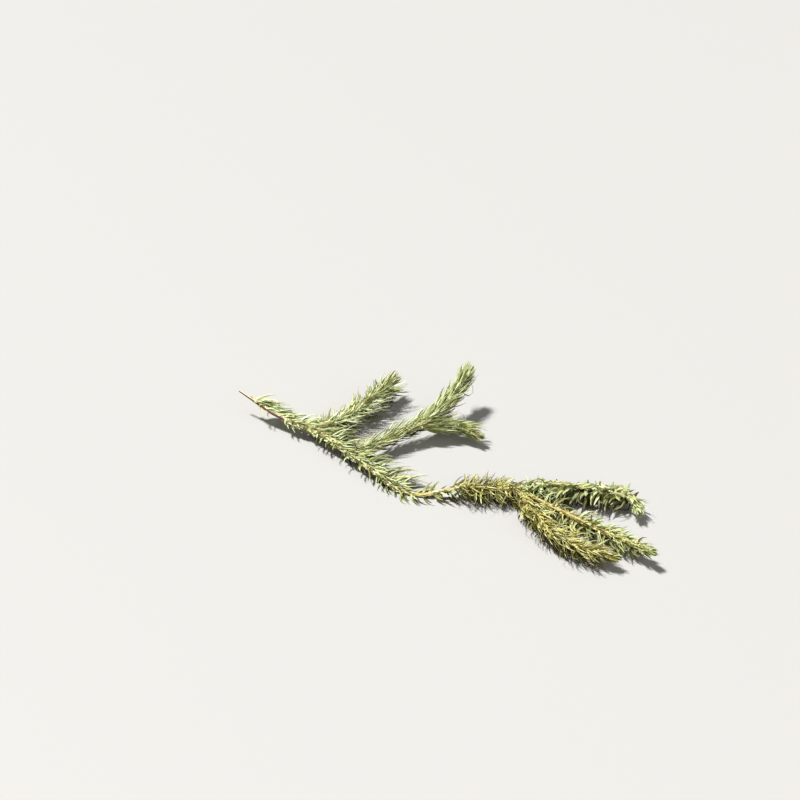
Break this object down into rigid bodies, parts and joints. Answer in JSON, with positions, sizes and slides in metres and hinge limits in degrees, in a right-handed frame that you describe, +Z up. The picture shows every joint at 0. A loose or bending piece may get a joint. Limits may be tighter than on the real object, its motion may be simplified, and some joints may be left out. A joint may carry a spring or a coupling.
{
  "type": "dried common clubmoss sprig",
  "caption": "Cut, forked sprig of dried clubmoss lying flat: thin straw-coloured stems in dense coats of narrow pointed leaves, with closed leaf buds at the tips.",
  "frame": {"origin": "middle of the underside of the sprig's box, on the surface that it lies on", "axes": "+X the way of the main stem, from the cut end towards the tips; +Y towards the side shoots; +Z up"},
  "size_m": [0.1052, 0.08, 0.0139],
  "materials": {
    "stem_straw": "matte",
    "leaf_pale_sage": "matte",
    "leaf_sage": "matte",
    "leaf_yellow_green": "matte",
    "leaf_golden": "matte"
  },
  "bodies": {
    "root": {"main_stem": "stem_straw", "first_side_shoot_stem": "stem_straw", "second_side_shoot_stem": "stem_straw", "front_branch_stem": "stem_straw", "rear_tip_stem": "stem_straw", "middle_tip_stem": "stem_straw", "base_leaves": "leaf_pale_sage", "lower_leaves": "leaf_pale_sage", "middle_leaves": "leaf_sage", "bare_stretch_leaves": "leaf_sage", "golden_leaves": "leaf_golden", "front_tip_inner_leaves": "leaf_yellow_green", "front_tip_outer_leaves": "leaf_yellow_green", "first_side_shoot_leaves": "leaf_pale_sage", "second_side_shoot_leaves": "leaf_sage", "rear_branch_leaves": "leaf_sage", "front_branch_leaves": "leaf_sage", "rear_tip_leaves": "leaf_pale_sage", "middle_tip_leaves": "leaf_golden", "front_tip_bud": "leaf_yellow_green", "first_side_shoot_bud": "leaf_pale_sage", "rear_branch_bud": "leaf_sage", "front_branch_bud": "leaf_sage", "rear_tip_bud": "leaf_pale_sage", "middle_tip_bud": "leaf_golden"}
  },
  "joints": []
}
